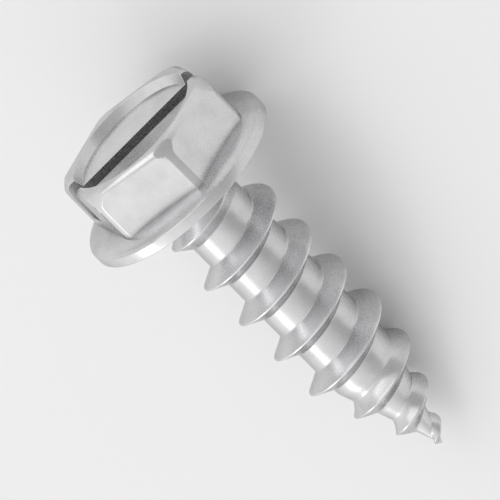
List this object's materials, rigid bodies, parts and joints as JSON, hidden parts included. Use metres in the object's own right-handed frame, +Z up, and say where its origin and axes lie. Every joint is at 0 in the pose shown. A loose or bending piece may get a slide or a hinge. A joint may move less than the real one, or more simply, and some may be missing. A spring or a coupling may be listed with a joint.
{
  "type": "hex washer head self-tapping screw",
  "caption": "Self-tapping screw with a coarse thread, a gimlet point and a slotted, indented hex head on a washer flange.",
  "frame": {"origin": "middle of the footprint of the lying screw, on the surface that it lies on", "axes": "+X along the lying screw, from the head to the tip, +Z up; the screw's own axis slopes down by 12.09 degrees towards the tip, because it lies on its washer's edge and on a thread crest"},
  "size_m": [0.0222, 0.0106, 0.0105],
  "materials": {
    "steel": "plain bright steel, satin, with fine forming and rolling marks"
  },
  "bodies": {
    "root": {"screw": "steel"}
  },
  "joints": []
}
